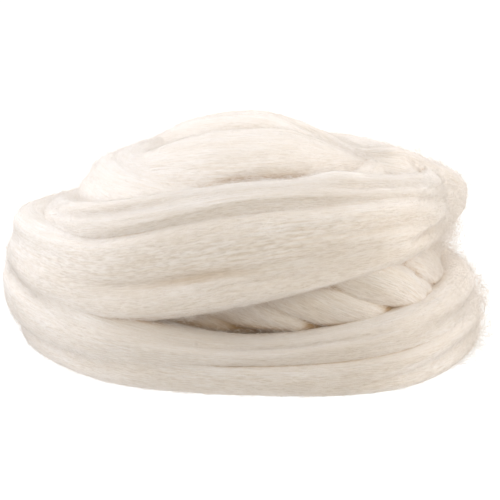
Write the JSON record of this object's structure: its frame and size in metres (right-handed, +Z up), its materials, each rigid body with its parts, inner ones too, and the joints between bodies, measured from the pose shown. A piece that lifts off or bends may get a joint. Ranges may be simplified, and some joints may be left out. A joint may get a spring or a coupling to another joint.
{
  "type": "wool roving",
  "caption": "Cream combed wool roving: a long soft sliver of fibre wound loosely into a low oval coil with a folded, pinched crown.",
  "frame": {"origin": "centre of the coil's footprint box on the table", "axes": "+X along the coil's long side to the right, +Y to the back, +Z up from the table"},
  "size_m": [0.2388, 0.1928, 0.1132],
  "materials": {
    "wool": "matte undyed combed wool with fine lengthwise fibres and a soft fuzzy edge"
  },
  "bodies": {
    "root": {"roving": "wool"}
  },
  "joints": []
}
